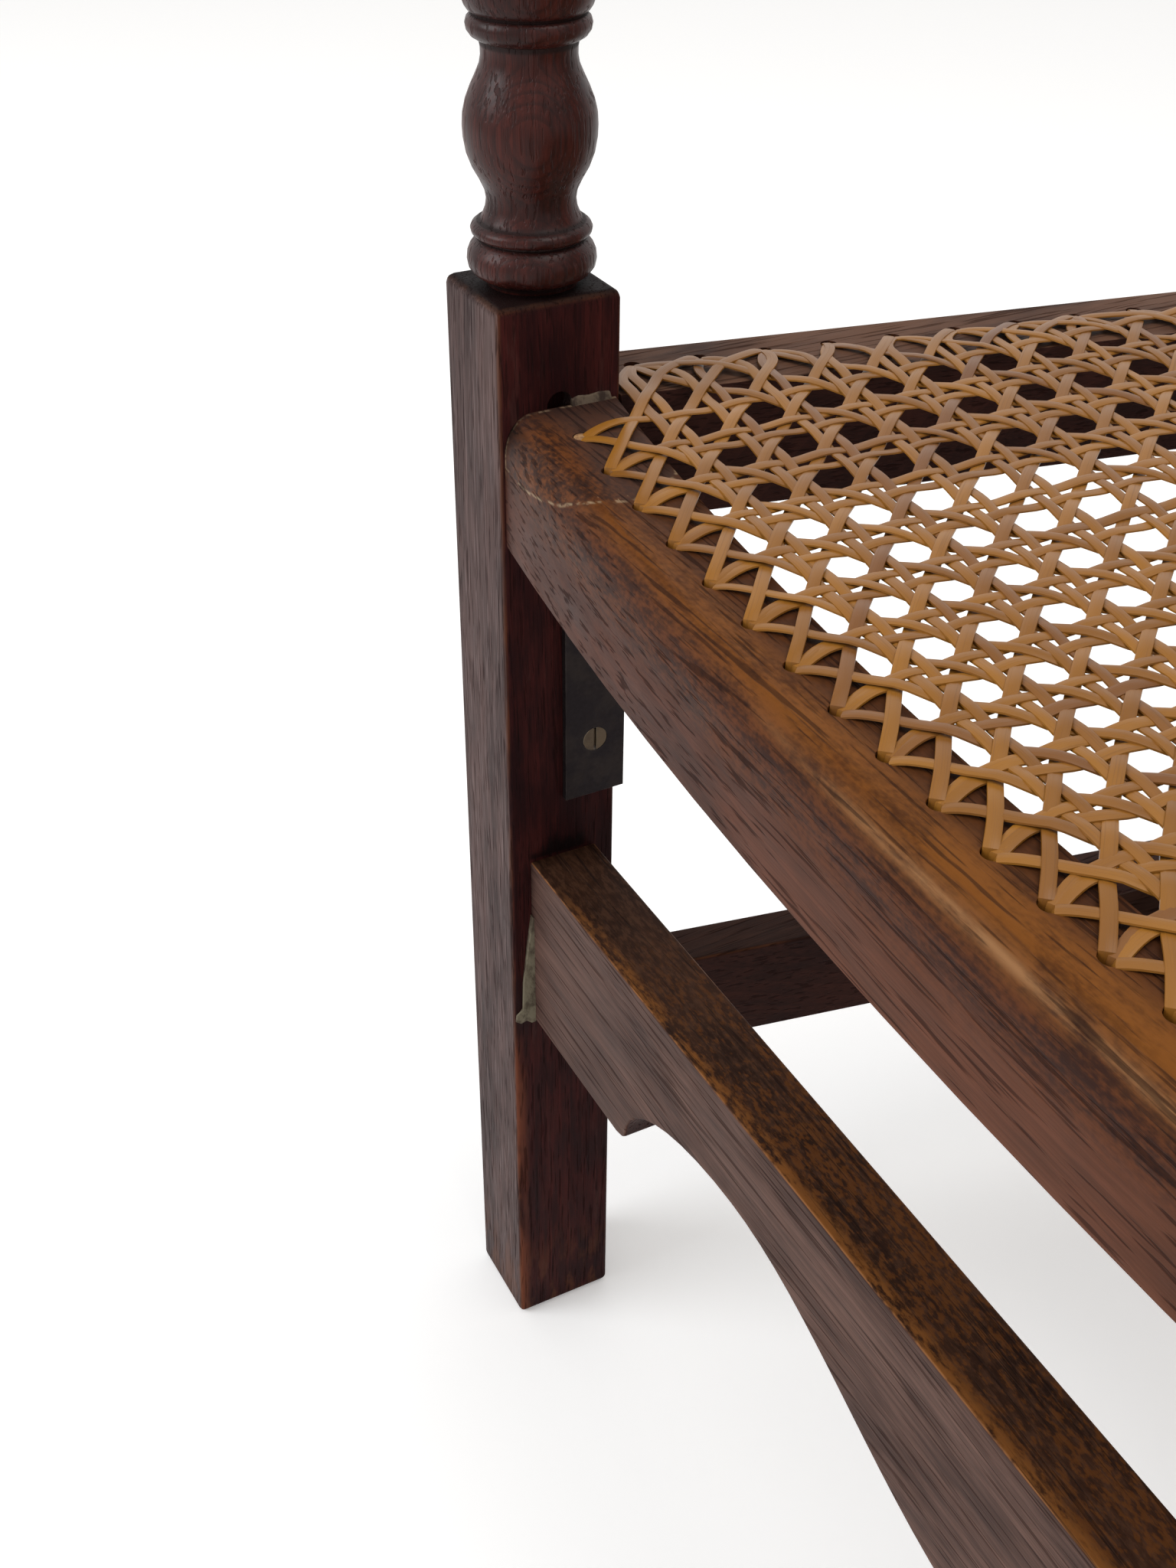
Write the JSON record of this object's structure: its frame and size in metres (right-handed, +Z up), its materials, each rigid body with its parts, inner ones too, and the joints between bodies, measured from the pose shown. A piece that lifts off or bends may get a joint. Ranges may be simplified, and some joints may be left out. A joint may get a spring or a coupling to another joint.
{
  "type": "caned oak armchair",
  "caption": "Open armchair in dark stained oak with turned arm supports, a bowed front seat rail, a shaped front stretcher, and a hand-caned seat and back.",
  "frame": {"origin": "on the floor, under the centre of the chair's box in plan", "axes": "+X to the right of the chair as seen from the front, -Y towards the front, +Z up"},
  "size_m": [0.636, 0.6457, 0.9857],
  "materials": {
    "oak_dark": "oak stained very dark reddish brown, thin worn varnish, satin",
    "oak_mid": "oak stained dark brown, dull and worn",
    "oak_worn": "oak stained brown, rubbed to warm orange brown on edges and tops, satin",
    "cane": "split rattan cane, golden tan, glossy outside",
    "peg": "plain split wood, matt",
    "bracket_steel": "steel blackened with age, dull",
    "screw_steel": "plain steel, darkened, dull"
  },
  "bodies": {
    "root": {"front_leg_left": "oak_dark", "front_leg_right": "oak_dark", "back_post_left": "oak_dark", "back_post_right": "oak_dark", "front_seat_rail": "oak_worn", "side_seat_rail_left": "oak_mid", "side_seat_rail_right": "oak_mid", "rear_seat_rail": "oak_mid", "seat_brace": "oak_mid", "front_stretcher": "oak_worn", "side_stretcher_left": "oak_mid", "side_stretcher_right": "oak_mid", "rear_stretcher": "oak_mid", "arm_left": "oak_worn", "arm_right": "oak_worn", "crest_rail": "oak_dark", "lower_back_rail": "oak_dark", "back_stile_left": "oak_dark", "back_stile_right": "oak_dark", "cane_seat": "cane", "cane_back": "cane", "seat_cane_pegs": "peg", "back_cane_pegs": "peg", "angle_bracket_left": "bracket_steel", "angle_bracket_right": "bracket_steel", "bracket_screws": "screw_steel"}
  },
  "joints": []
}
